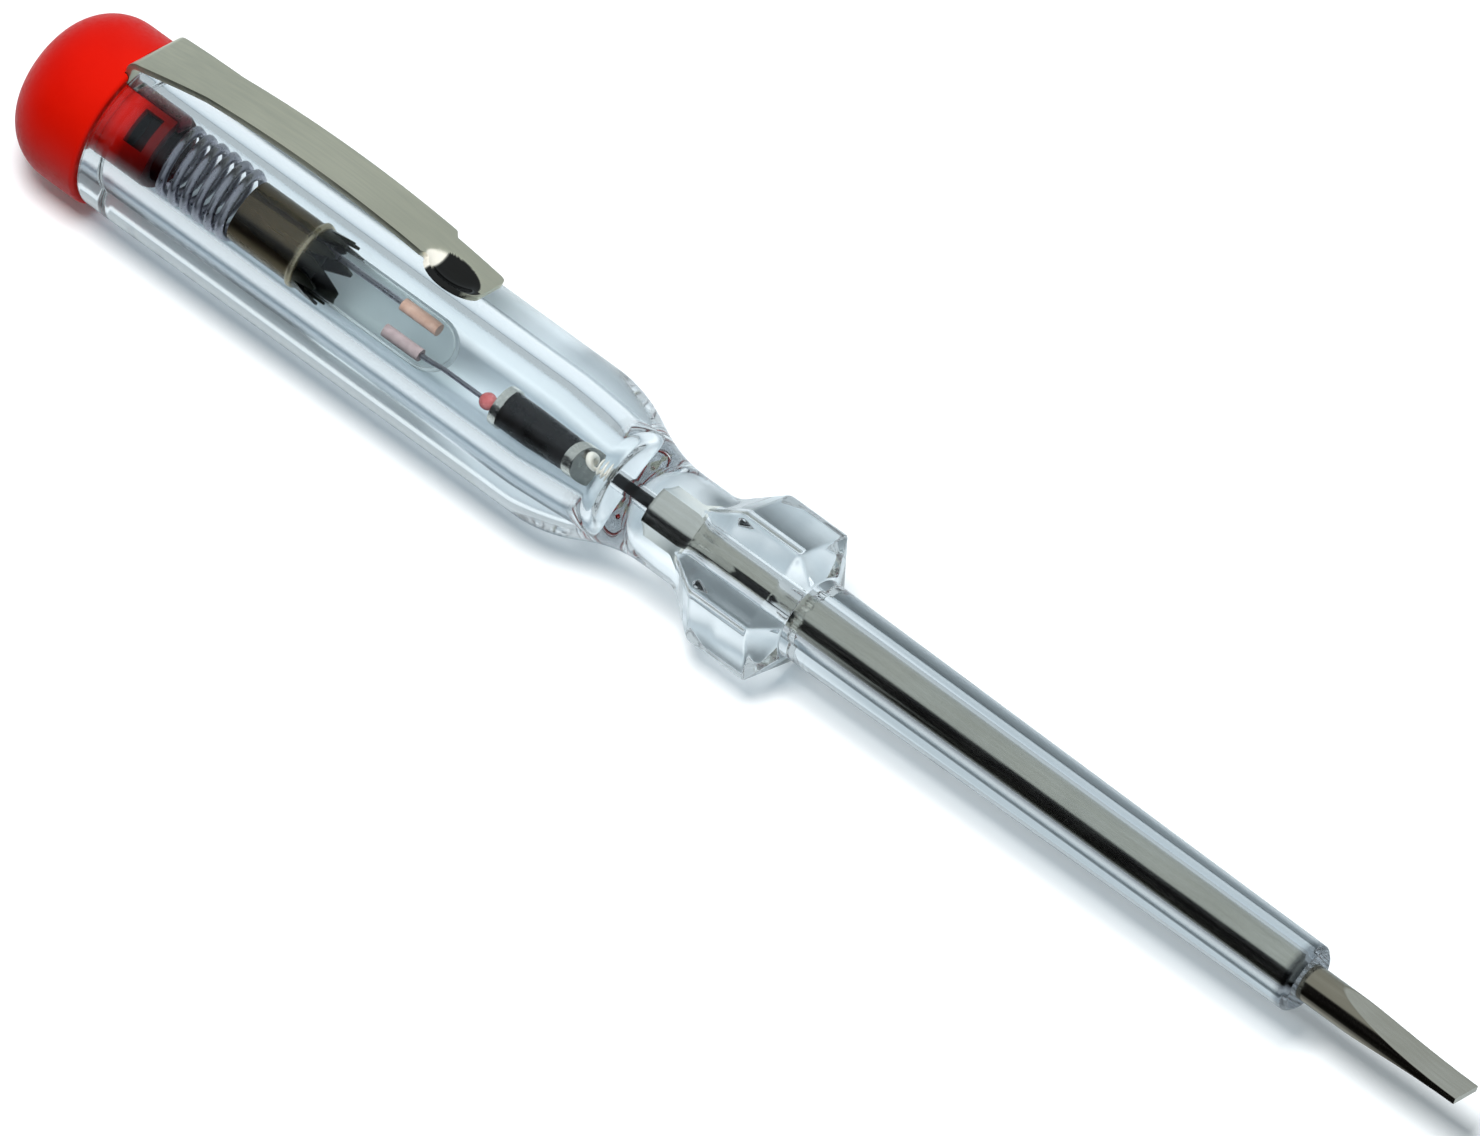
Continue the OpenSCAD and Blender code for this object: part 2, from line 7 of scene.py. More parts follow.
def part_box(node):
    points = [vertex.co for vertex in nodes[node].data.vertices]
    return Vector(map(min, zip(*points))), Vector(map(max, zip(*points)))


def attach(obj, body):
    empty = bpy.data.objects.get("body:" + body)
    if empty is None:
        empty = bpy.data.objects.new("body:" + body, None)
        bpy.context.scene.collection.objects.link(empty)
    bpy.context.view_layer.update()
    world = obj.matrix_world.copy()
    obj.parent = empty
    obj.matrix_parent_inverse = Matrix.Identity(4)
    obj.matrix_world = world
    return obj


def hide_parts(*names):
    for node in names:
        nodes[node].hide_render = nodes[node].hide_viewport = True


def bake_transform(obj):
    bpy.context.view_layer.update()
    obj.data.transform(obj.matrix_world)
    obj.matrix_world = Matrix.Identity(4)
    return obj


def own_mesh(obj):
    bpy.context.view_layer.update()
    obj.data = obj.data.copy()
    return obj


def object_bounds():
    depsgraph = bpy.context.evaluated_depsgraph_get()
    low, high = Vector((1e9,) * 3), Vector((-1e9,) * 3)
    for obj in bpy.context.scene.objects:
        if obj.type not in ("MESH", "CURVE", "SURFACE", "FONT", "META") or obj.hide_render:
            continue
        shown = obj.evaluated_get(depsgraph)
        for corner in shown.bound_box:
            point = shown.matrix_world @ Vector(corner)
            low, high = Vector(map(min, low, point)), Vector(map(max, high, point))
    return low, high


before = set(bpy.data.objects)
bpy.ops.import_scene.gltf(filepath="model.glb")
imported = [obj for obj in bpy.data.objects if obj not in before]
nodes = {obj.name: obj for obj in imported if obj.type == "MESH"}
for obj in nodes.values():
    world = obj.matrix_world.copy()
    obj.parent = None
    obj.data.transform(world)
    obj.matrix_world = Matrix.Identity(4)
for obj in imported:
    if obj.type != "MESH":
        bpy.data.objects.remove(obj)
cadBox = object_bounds()
mm = 0.001

# the tool's axis runs along X, stations are millimetres from the cap's crown
crownX = cadBox[0].x
axisZ = sum(corner.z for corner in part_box("blade_shank")) / 2


def station(s):
    return crownX + s * mm


def stationOf(x):
    return (x - crownX) / mm


handleRear, collarFront = (stationOf(corner.x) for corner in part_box("handle"))
tailRear, bladeTip = (stationOf(corner.x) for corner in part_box("blade_shank"))
springRear, springFront = (stationOf(corner.x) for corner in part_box("rear_spring"))
coilRear, coilFront = (stationOf(corner.x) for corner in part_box("contact_coil"))
glassRear, glassFront = (stationOf(corner.x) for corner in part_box("lamp_glass"))
stripRear, stripFront = (stationOf(corner.x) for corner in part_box("clip_strip"))
ringRear, leafFront = (stationOf(corner.x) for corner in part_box("clip_root"))
cupRear, crownFront = (stationOf(corner.x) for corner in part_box("lamp_cap"))
sleeveFront = stationOf(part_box("shank_sleeve")[1].x)
plugFront = stationOf(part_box("end_cap")[1].x)


# shader helpers

def newMaterial(name):
    mat = bpy.data.materials.new(name)
    mat.use_nodes = True
    tree = mat.node_tree
    shader = tree.nodes["Principled BSDF"]
    coords = tree.nodes.new("ShaderNodeTexCoord")
    return mat, tree, shader, coords.outputs["Object"]


def addNode(tree, kind, inputs=None, **settings):
    node = tree.nodes.new(kind)
    for key, value in settings.items():
        setattr(node, key, value)
    for key, value in (inputs or {}).items():
        if isinstance(value, bpy.types.NodeSocket):
            tree.links.new(value, node.inputs[key])
        else:
            node.inputs[key].default_value = value
    return node


def noise(tree, coords, scale, detail=3.0, stretch=(1, 1, 1)):
    mapped = addNode(tree, "ShaderNodeMapping", {"Vector": coords, "Scale": stretch})
    tex = addNode(tree, "ShaderNodeTexNoise", {
        "Vector": mapped.outputs[0], "Scale": scale, "Detail": detail})
    return tex.outputs["Fac"]


def spread(tree, value, low, high, start=0.3, end=0.7):
    ranged = addNode(tree, "ShaderNodeMapRange", {
        "Value": value, "From Min": start, "From Max": end, "To Min": low, "To Max": high})
    return ranged.outputs["Result"]


def easedSpread(tree, value, low, high, start, end):
    ranged = addNode(tree, "ShaderNodeMapRange", {
        "Value": value, "From Min": start, "From Max": end, "To Min": low, "To Max": high},
        interpolation_type="SMOOTHSTEP")
    return ranged.outputs["Result"]


def twoTone(tree, value, first, second, start=0.3, end=0.7):
    ramp = addNode(tree, "ShaderNodeValToRGB", {"Fac": value})
    ramp.color_ramp.elements[0].position = start
    ramp.color_ramp.elements[0].color = (*first, 1)
    ramp.color_ramp.elements[1].position = end
    ramp.color_ramp.elements[1].color = (*second, 1)
    return ramp.outputs["Color"]


def bump(tree, shader, height, strength, distance):
    bumped = addNode(tree, "ShaderNodeBump", {"Height": height, "Strength": strength, "Distance": distance})
    tree.links.new(bumped.outputs["Normal"], shader.inputs["Normal"])


def colourStops(tree, value, stops):
    # colour that changes with a value, from (value, colour) stops
    first, last = stops[0][0], stops[-1][0]
    ramp = addNode(tree, "ShaderNodeValToRGB", {"Fac": spread(tree, value, 0, 1, first, last)})
    marks = ramp.color_ramp.elements
    marks[0].color = (*stops[0][1], 1)
    marks[1].color = (*stops[-1][1], 1)
    for at, colour in stops[1:-1]:
        marks.new((at - first) / (last - first)).color = (*colour, 1)
    return ramp.outputs["Color"]


def alongTool(tree, coords, stops):
    # colour that changes along the tool, from (station, colour) stops
    x = addNode(tree, "ShaderNodeSeparateXYZ", {0: coords}).outputs["X"]
    return colourStops(tree, x, [(station(s), colour) for s, colour in stops])


def fromAxis(tree, coords):
    # distance from the tool's axis
    moved = addNode(tree, "ShaderNodeVectorMath", {0: coords, 1: (0, 0, axisZ)}, operation="SUBTRACT")
    flat = addNode(tree, "ShaderNodeVectorMath", {0: moved.outputs[0], 1: (0, 1, 1)}, operation="MULTIPLY")
    return addNode(tree, "ShaderNodeVectorMath", {0: flat.outputs[0]}, operation="LENGTH").outputs["Value"]


def mathNode(tree, kind, first, second=None):
    given = {0: first} if second is None else {0: first, 1: second}
    return addNode(tree, "ShaderNodeMath", given, operation=kind).outputs[0]


def mixColours(tree, share, first, second, kind="MIX"):
    mixed = addNode(tree, "ShaderNodeMix", {0: share, 6: first, 7: second}, data_type="RGBA", blend_type=kind)
    return mixed.outputs[2]


def times(tree, first, second):
    return mixColours(tree, 1.0, first, second, "MULTIPLY")


lampFade = (0.06, 0.48)  # how far a clear wall turns away from a lamp, from square on to its edge


def letLampsThrough(mat, faceOn, edgeOn):
    # clear walls let a lamp through where it meets them square, and turn it away at their edges
    tree = mat.node_tree
    out = tree.nodes["Material Output"]
    shader = tree.nodes["Principled BSDF"]
    path = addNode(tree, "ShaderNodeLightPath")
    facing = addNode(tree, "ShaderNodeLayerWeight", {"Blend": 0.5}).outputs["Facing"]
    tint = twoTone(tree, facing, faceOn, edgeOn, *lampFade)
    clear = addNode(tree, "ShaderNodeBsdfTransparent", {"Color": tint})
    mix = addNode(tree, "ShaderNodeMixShader", {
        0: path.outputs["Is Shadow Ray"], 1: shader.outputs[0], 2: clear.outputs[0]})
    tree.links.new(mix.outputs[0], out.inputs["Surface"])


# finishes

clearLook = {
    "tint": (0.95, 0.975, 0.985), "tintFar": (0.92, 0.955, 0.97), "cloud": 90, "ior": 1.49,
    "lampFaceOn": (0.97, 0.98, 0.985), "lampEdgeOn": (0.26, 0.32, 0.36), "shine": (0.45, 0.47, 0.5, 1),
    "scuffs": 700, "scuffStretch": (0.25, 1, 1), "scuffed": (0.45, 0.75), "rough": (0.02, 0.06),
    "ripple": 160, "rippleStretch": (0.3, 1, 1), "rippleStrength": 0.12, "rippleDepth": 0.0002,
    "endShadeTints": [(-1.3, (1, 1, 1)), (-0.75, (0.22, 0.23, 0.25)), (0, (0.16, 0.17, 0.19))],
}


def clearPlastic():
    mat, tree, shader, coords = newMaterial("clearMouldedPlastic")
    shader.inputs["Transmission Weight"].default_value = 1.0
    shader.inputs["IOR"].default_value = clearLook["ior"]
    shader.inputs["Specular Tint"].default_value = clearLook["shine"]
    tint = twoTone(tree, noise(tree, coords, clearLook["cloud"]), clearLook["tint"], clearLook["tintFar"])
    # painted shade darkens the cut end of the sleeve
    end = alongTool(tree, coords, [(sleeveFront + s, shade) for s, shade in clearLook["endShadeTints"]])
    tree.links.new(times(tree, tint, end), shader.inputs["Base Color"])
    scuffs = noise(tree, coords, clearLook["scuffs"], 4, clearLook["scuffStretch"])
    rough = spread(tree, scuffs, *clearLook["rough"], *clearLook["scuffed"])
    tree.links.new(rough, shader.inputs["Roughness"])
    ripple = noise(tree, coords, clearLook["ripple"], 1, clearLook["rippleStretch"])
    bump(tree, shader, ripple, clearLook["rippleStrength"], clearLook["rippleDepth"])
    letLampsThrough(mat, clearLook["lampFaceOn"], clearLook["lampEdgeOn"])
    return mat


redLook = {
    "bright": (0.62, 0.007, 0.001), "deep": (0.54, 0.004, 0.0006), "cloud": 140, "gloss": 0.1,
    "grain": 2600, "rough": (0.36, 0.5), "relief": 0.1, "depth": 0.00006,
    "plugShadeTints": [(0, (1, 1, 1)), (1.3, (0.8, 0.7, 0.8)), (2.1, (0.3, 0.2, 0.4)),
                  (plugFront - handleRear, (0.14, 0.1, 0.3))],
    "hollowShade": (0.02, 0.02, 0.03), "hollowR": (2.3, 2.9), "hollowFade": 0.4,
}


def redPlastic():
    mat, tree, shader, coords = newMaterial("redMouldedPlastic")
    cloud = noise(tree, coords, redLook["cloud"], 4)
    red = twoTone(tree, cloud, redLook["deep"], redLook["bright"])
    # painted shade: the plug is darker towards its open end, inside the bore, and darkest in its hollow
    plug = alongTool(tree, coords, [(handleRear + s, tint) for s, tint in redLook["plugShadeTints"]])
    radius = fromAxis(tree, coords)
    near, far = (r * mm for r in redLook["hollowR"])
    inFront = alongTool(tree, coords, [
        (handleRear, (0, 0, 0)), (handleRear + redLook["hollowFade"], (1, 1, 1))])
    deep = mathNode(tree, "MULTIPLY", spread(tree, radius, 1, 0, near, far), inFront)
    hollowShading = twoTone(tree, deep, (1, 1, 1), redLook["hollowShade"], 0, 1)
    tree.links.new(times(tree, times(tree, red, plug), hollowShading), shader.inputs["Base Color"])
    grain = noise(tree, coords, redLook["grain"], 2)
    tree.links.new(spread(tree, grain, *redLook["rough"]), shader.inputs["Roughness"])
    shader.inputs["Specular IOR Level"].default_value = redLook["gloss"]
    bump(tree, shader, grain, redLook["relief"], redLook["depth"])
    return mat


metalLooks = {
    "clip": {"pale": (0.74, 0.71, 0.56), "dull": (0.63, 0.61, 0.48), "rough": 0.36, "brushed": 0.04},
    "ring": {"pale": (0.86, 0.87, 0.9), "dull": (0.74, 0.75, 0.78), "rough": 0.3},
    "shank": {"pale": (0.63, 0.6, 0.52), "dull": (0.53, 0.5, 0.42), "rough": 0.14, "brushed": 0.06},
    "wire": {"pale": (0.48, 0.47, 0.52), "dull": (0.34, 0.33, 0.38), "rough": 0.3},
    # painted highlight: the contact wire is a pale cream, only part metal, so the lamp lights it bright like
    # the glints on its turns
    "bead": {"pale": (0.95, 0.91, 0.82), "dull": (0.85, 0.8, 0.7), "rough": 0.2, "metallic": 0.3},
    "cup": {"pale": (0.16, 0.12, 0.068), "dull": (0.12, 0.09, 0.05), "rough": 0.24,
            "brushed": 0.05, "lines": 700},
    "rim": {"pale": (0.85, 0.82, 0.75), "dull": (0.68, 0.65, 0.58), "rough": 0.2},
}
metalGrain = {"lines": 3200, "cloud": 120, "tones": (0.12, 0.38), "smoother": 0.07, "rougher": 0.1,
              "relief": 0.08, "depth": 0.00003}
# the cup is brown up to a bright band at its rolled rim, and its crown is darker
cupStops = [(cupRear, (0.75, 0.72, 0.7)), (crownFront - 3.0, (0.9, 0.9, 0.9)),
            (crownFront - 2.75, (3.2, 3.6, 4.4)), (crownFront - 2.35, (3.2, 3.6, 4.4)),
            (crownFront - 2.2, (0.24, 0.3, 0.36)), (crownFront, (0.12, 0.18, 0.2))]
# painted dark reflection: the shank's tail in the plastic is painted near black, and its swaged wings are
# paler than the rest
shankStopsPaintedTail = [(tailRear, (0.02, 0.02, 0.02)), (tailRear + 3.7, (0.02, 0.02, 0.02)),
              (tailRear + 4.0, (1.3, 1.35, 1.45)), (tailRear + 8.4, (1.3, 1.35, 1.45)),
              (tailRear + 8.6, (1, 1, 1)), (bladeTip, (1, 1, 1))]
# the resistor's caps are bright round their walls, and the front cap is darker on its face
capStops = [(coilRear - 0.5, (1, 1, 1)), (coilRear - 0.1, (1, 1, 1)), (coilRear - 0.05, (0.35, 0.36, 0.36)),
            (coilRear + 0.5, (0.35, 0.36, 0.36))]
# the clip's ring is pale, and its contact leaf is painted dark red, a painted shade like the plug's shade
# around it
ringStopsPaintedLeaf = [(ringRear, (1, 1, 1)), (ringRear + 0.55, (1, 1, 1)), (ringRear + 0.75, (0.36, 0.03, 0.04)),
             (leafFront, (0.2, 0.02, 0.035))]


def metal(name, look, stops=None):
    mat, tree, shader, coords = newMaterial(name)
    shader.inputs["Metallic"].default_value = look.get("metallic", 1.0)
    grain = metalGrain
    lines = noise(tree, coords, look.get("lines", grain["lines"]), 5, (look.get("brushed", 1), 1, 1))
    cloud = noise(tree, coords, grain["cloud"], 3)
    mixed = mathNode(tree, "MULTIPLY", lines, cloud)
    colour = twoTone(tree, mixed, look["dull"], look["pale"], *grain["tones"])
    if stops:
        colour = times(tree, colour, alongTool(tree, coords, stops))
    tree.links.new(colour, shader.inputs["Base Color"])
    rough = spread(tree, lines, look["rough"] - grain["smoother"], look["rough"] + grain["rougher"])
    tree.links.new(rough, shader.inputs["Roughness"])
    bump(tree, shader, lines, grain["relief"], grain["depth"])
    return mat


neckPaintedReflection = {"tint": (0.58, 0.55, 0.5), "roundR": (1.42, 1.49), "fade": (-0.7, -0.4)}


def shankMetal():
    # painted dark reflection: past the sleeve the round of the shank is painted darker, and the ground flats
    # are left bright
    mat = metal("platedSteelShank", metalLooks["shank"], shankStopsPaintedTail)
    tree = mat.node_tree
    shader = tree.nodes["Principled BSDF"]
    coords = tree.nodes["Texture Coordinate"].outputs["Object"]
    near, far = (r * mm for r in neckPaintedReflection["roundR"])
    start, end = (sleeveFront + s for s in neckPaintedReflection["fade"])
    bare = alongTool(tree, coords, [(start, (0, 0, 0)), (end, (1, 1, 1))])
    neck = mathNode(tree, "MULTIPLY", spread(tree, fromAxis(tree, coords), 0, 1, near, far), bare)
    plain = shader.inputs["Base Color"].links[0].from_socket
    shade = twoTone(tree, neck, (1, 1, 1), neckPaintedReflection["tint"], 0, 1)
    tree.links.new(times(tree, plain, shade), shader.inputs["Base Color"])
    return mat


bowlLook = {"polish": 0.07, "shade": (0.05, 0.05, 0.06), "fade": (0.2, 0.7),
            "paintedGleam": (0.9, 0.86, 0.76, 1), "paintedGleamMetal": 0.15}


def clipMetal():
    # satin strip whose pressed bowl is polished and painted dark for the dark it reflects, with a painted
    # highlight at its rear end
    mat = metal("satinNickelStrip", metalLooks["clip"])
    tree = mat.node_tree
    shader = tree.nodes["Principled BSDF"]
    bowl = addNode(tree, "ShaderNodeAttribute", attribute_name="bowl").outputs["Fac"]
    satin = shader.inputs["Roughness"].links[0].from_socket
    polish = addNode(tree, "ShaderNodeMix", {0: bowl, 2: satin, 3: bowlLook["polish"]}).outputs[0]
    tree.links.new(polish, shader.inputs["Roughness"])
    plain = shader.inputs["Base Color"].links[0].from_socket
    dark = twoTone(tree, bowl, (1, 1, 1), bowlLook["shade"], *bowlLook["fade"])
    paintedGleam = addNode(tree, "ShaderNodeAttribute", attribute_name="paintedGleam").outputs["Fac"]
    lit = mixColours(tree, paintedGleam, times(tree, plain, dark), bowlLook["paintedGleam"])
    tree.links.new(lit, shader.inputs["Base Color"])
    tree.links.new(spread(tree, paintedGleam, 1, bowlLook["paintedGleamMetal"], 0, 1), shader.inputs["Metallic"])
    return mat


glassLook = {
    "ior": 1.08, "tint": (0.96, 0.975, 0.965), "tintFar": (0.985, 0.99, 0.985),
    "haze": 260, "hazed": (0.35, 0.7), "rough": (0.02, 0.16),
    "lampFaceOn": (0.98, 0.985, 0.98), "lampEdgeOn": (0.8, 0.83, 0.82),
}


def lampGlass():
    mat, tree, shader, coords = newMaterial("lampGlass")
    shader.inputs["Transmission Weight"].default_value = 1.0
    shader.inputs["IOR"].default_value = glassLook["ior"]
    haze = noise(tree, coords, glassLook["haze"], 3)
    tree.links.new(twoTone(tree, haze, glassLook["tint"], glassLook["tintFar"]), shader.inputs["Base Color"])
    tree.links.new(spread(tree, haze, *glassLook["rough"], *glassLook["hazed"]), shader.inputs["Roughness"])
    letLampsThrough(mat, glassLook["lampFaceOn"], glassLook["lampEdgeOn"])
    return mat


dullLooks = {
    "cement": {"low": (0.02, 0.025, 0.025), "high": (0.09, 0.1, 0.09), "rough": 0.75,
               "grain": 1500, "relief": 0.4},
    "resistor": {"low": (0.002, 0.002, 0.002), "high": (0.008, 0.007, 0.007), "rough": 0.3,
                 "grain": 1100, "relief": 0.2, "gloss": 0.25},
    "electrode": {"low": (0.56, 0.33, 0.25), "high": (0.74, 0.5, 0.41), "rough": 0.5,
                  "grain": 1800, "relief": 0.25},
    "electrodePale": {"low": (0.42, 0.32, 0.33), "high": (0.58, 0.45, 0.46), "rough": 0.55,
                      "grain": 1800, "relief": 0.25},
    "bead": {"low": (0.42, 0.08, 0.08), "high": (0.6, 0.2, 0.2), "rough": 0.22,
             "grain": 1400, "relief": 0.1},
}
dullGrain = {"smoother": 0.1, "rougher": 0.12, "depth": 0.00005}


def dull(name, look):
    mat, tree, shader, coords = newMaterial(name)
    grain = noise(tree, coords, look["grain"], 4)
    tree.links.new(twoTone(tree, grain, look["low"], look["high"]), shader.inputs["Base Color"])
    rough = spread(tree, grain, look["rough"] - dullGrain["smoother"], look["rough"] + dullGrain["rougher"])
    tree.links.new(rough, shader.inputs["Roughness"])
    shader.inputs["Specular IOR Level"].default_value = look.get("gloss", 0.5)
    bump(tree, shader, grain, look["relief"], dullGrain["depth"])
    return mat


finishes = {
    "clear": clearPlastic(),
    "red": redPlastic(),
    "glass": lampGlass(),
    "clip": clipMetal(),
    "ring": metal("paleNickelRing", metalLooks["ring"], ringStopsPaintedLeaf),
    "coil": metal("paintedHighlightContactWire", metalLooks["bead"]),
    "shank": shankMetal(),
    "wire": metal("springWire", metalLooks["wire"]),
    "cup": metal("tarnishedCup", metalLooks["cup"], cupStops),
    "rim": metal("brightCap", metalLooks["rim"], capStops),
    "cement": dull("darkCement", dullLooks["cement"]),
    "resistor": dull("blackLacquer", dullLooks["resistor"]),
    "electrode": dull("coatedElectrode", dullLooks["electrode"]),
    "electrodePale": dull("paleElectrode", dullLooks["electrodePale"]),
    "bead": dull("redSealBead", dullLooks["bead"]),
}
print("finishes made:", len(finishes))


# mesh helpers

sharpAngle = math.radians(38)
mergeDist = 1e-7


def pieceFrom(name, bm, finish):
    bmesh.ops.remove_doubles(bm, verts=bm.verts, dist=mergeDist)
    bmesh.ops.recalc_face_normals(bm, faces=bm.faces)
    for edge in bm.edges:
        edge.smooth = edge.calc_face_angle(math.pi) < sharpAngle
    mesh = bpy.data.meshes.new(name)
    bm.to_mesh(mesh)
    bm.free()
    mesh.materials.append(finishes[finish])
    mesh.polygons.foreach_set("use_smooth", [True] * len(mesh.polygons))
    obj = bpy.data.objects.new(name, mesh)
    bpy.context.scene.collection.objects.link(obj)
    return obj


def rounded(corners, steps=6, hold=0.06):
    # (station, radius, fillet) corners become a smooth outline of (station, radius)
    # a point on each side of a fillet holds the shading of the long stretches
    outline = []
    last = len(corners) - 1
    for i, (s, r, fillet) in enumerate(corners):
        here = Vector((s, r))
        if i in (0, last) or fillet == 0:
            outline.append(here)
            continue
        toPrev = (Vector(corners[i - 1][:2]) - here).normalized()
        toNext = (Vector(corners[i + 1][:2]) - here).normalized()
        half = toPrev.angle(toNext) / 2
        reach = fillet / math.tan(half)
        centre = here + (toPrev + toNext).normalized() * (fillet / math.sin(half))
        first = here + toPrev * reach - centre
        second = here + toNext * reach - centre
        outline.append(centre + first + toPrev * hold)
        for k in range(steps + 1):
            outline.append(centre + first.slerp(second, k / steps).normalized() * fillet)
        outline.append(centre + second + toNext * hold)
    return outline


def ringLoft(bm, rings, closed):
    count = len(rings[0])
    verts = [[bm.verts.new(p) for p in ring] for ring in rings]
    pairs = list(zip(verts, verts[1:]))
    if closed:
        pairs.append((verts[-1], verts[0]))
    for a, b in pairs:
        for k in range(count):
            n = (k + 1) % count
            bm.faces.new((a[k], a[n], b[n], b[k]))


def circlePoint(s, r, angle):
    # angle 0 is straight up, and it turns towards +Y
    return Vector((station(s), r * math.sin(angle) * mm, axisZ + r * math.cos(angle) * mm))


# clear handle and sleeve, one optical body round the shank

handleShape = {
    "barrelR": 6.7, "barrelLen": 43.4, "waistLen": 10.6, "neckR": 4.05, "neckLen": 3.3,
    "boreR": 3.25, "boreRound": 1.2, "edge": 0.6,
    "flatR": 5.8, "rearFlank": 3.2, "rimLen": 5.6, "frontFlank": 1.3, "collarTurn": 30,
    "cornerPower": 70, "blendR": 0.5, "rimSoft": 0.25,
    "sleeveRootR": 3.35, "sleeveEndR": 2.85, "sleeveChamfer": 0.4, "sleeveRound": 0.3, "sleeveLip": 0.12,
    "gap": 0.02, "shankR": 1.5, "wingR": 1.13, "tailR": 0.5,
    "tailLen": 3.9, "wingLen": 4.6, "tailReach": 0.2, "wingReach": 0.1, "segments": 240,
    "waistHold": 1, "waistStep": 0.2, "collarLead": 0.6, "collarStep": 0.08, "flatLeast": 0.1, "hidden": 0.4,
}


def spanOf(start, end, step):
    count = max(1, round(abs(end - start) / step))
    return [start + (end - start) * k / count for k in range(count + 1)]


def smoothMax(a, b, k):
    h = max(k - abs(a - b), 0) / k
    return max(a, b) + h * h * k / 4


def hexReach(angle, power):
    # 1 / distance from the middle of a hexagon with rounded corners
    turn = handleShape["collarTurn"]
    total = sum(max(0, math.cos(angle - math.radians(turn + 60 * k))) ** power for k in range(6))
    return total ** (-1 / power)


def buildClearHandle():
    h = handleShape
    waist = handleRear + h["barrelLen"]
    neck = waist + h["waistLen"]
    collar = neck + h["neckLen"]
    rim = collar + h["rearFlank"]
    rimEnd = rim + h["rimLen"]
    boreEnd = tailRear + h["tailReach"]
    wings = tailRear + h["tailLen"]
    shank = wings + h["wingLen"]
    drop = h["barrelR"] - h["neckR"]

    # round parts of the outside
    outside = rounded([(handleRear, h["boreR"], 0), (handleRear, h["barrelR"], h["edge"]),
                       (waist - h["waistHold"], h["barrelR"], 0)])
    for s in spanOf(waist, neck, h["waistStep"]):
        t = (s - waist) / h["waistLen"]
        bend = 2 * t * t if t < 0.5 else 1 - 2 * (1 - t) ** 2
        outside.append(Vector((s, h["barrelR"] - drop * bend)))
    outside = [(p.x, p.y) for p in outside]

    # the collar's hexagon grows out of the neck and falls to the sleeve, round parts hidden in it
    apothems = {}
    foot = h["neckR"] * math.cos(math.radians(30))
    for s in spanOf(collar - h["collarLead"], collarFront, h["collarStep"]):
        rise = foot + (h["flatR"] - foot) * (s - collar) / h["rearFlank"]
        fall = h["flatR"] + (h["sleeveRootR"] - h["flatR"]) * (s - rimEnd) / h["frontFlank"]
        flat = -smoothMax(-h["flatR"], -min(rise, fall), h["rimSoft"])
        apothems[s] = max(flat, h["flatLeast"])
        outside.append((s, h["neckR"] if s < (rim + rimEnd) / 2 else h["sleeveRootR"] - h["hidden"]))
    sleeve = rounded([(collarFront, h["sleeveRootR"], 0),
                      (sleeveFront - h["sleeveChamfer"], h["sleeveEndR"], h["sleeveRound"]),
                      (sleeveFront, h["sleeveEndR"] - h["sleeveChamfer"], h["sleeveLip"]),
                      (sleeveFront, h["shankR"] + h["gap"], 0)])
    outside += [(p.x, p.y) for p in sleeve]

    # way back through the middle: shank, wings, tail and the bore of the lamp stack
    hole, tail, wingRear = h["shankR"] + h["gap"], h["tailR"] + h["gap"], wings + h["wingReach"]
    inside = rounded([(sleeveFront, hole, 0), (shank, hole, 0), (shank, h["wingR"], 0),
                      (wingRear, h["wingR"], 0), (wingRear, tail, 0), (boreEnd, tail, 0),
                      (boreEnd, h["boreR"], h["boreRound"]), (handleRear, h["boreR"], 0)])
    profile = outside + [(p.x, p.y) for p in inside[1:-1]]

    angles = [2 * math.pi * k / h["segments"] for k in range(h["segments"])]
    reach = [hexReach(a, h["cornerPower"]) for a in angles]
    rings = []
    for s, r in profile:
        flat = apothems.get(s)
        radii = [r] * len(angles) if flat is None else [smoothMax(r, flat * k, h["blendR"]) for k in reach]
        rings.append([circlePoint(s, radius, a) for radius, a in zip(radii, angles)])
    bm = bmesh.new()
    ringLoft(bm, rings, True)
    piece = pieceFrom("clear_handle", bm, "clear")
    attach(piece, "handle")
    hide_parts("handle", "shank_sleeve")
    return piece


clearHandle = buildClearHandle()
print("clear handle:", len(clearHandle.data.polygons), "faces")


# wound wires

closedPitch = 1.15  # of closed turns, in wires
wireSides = 12


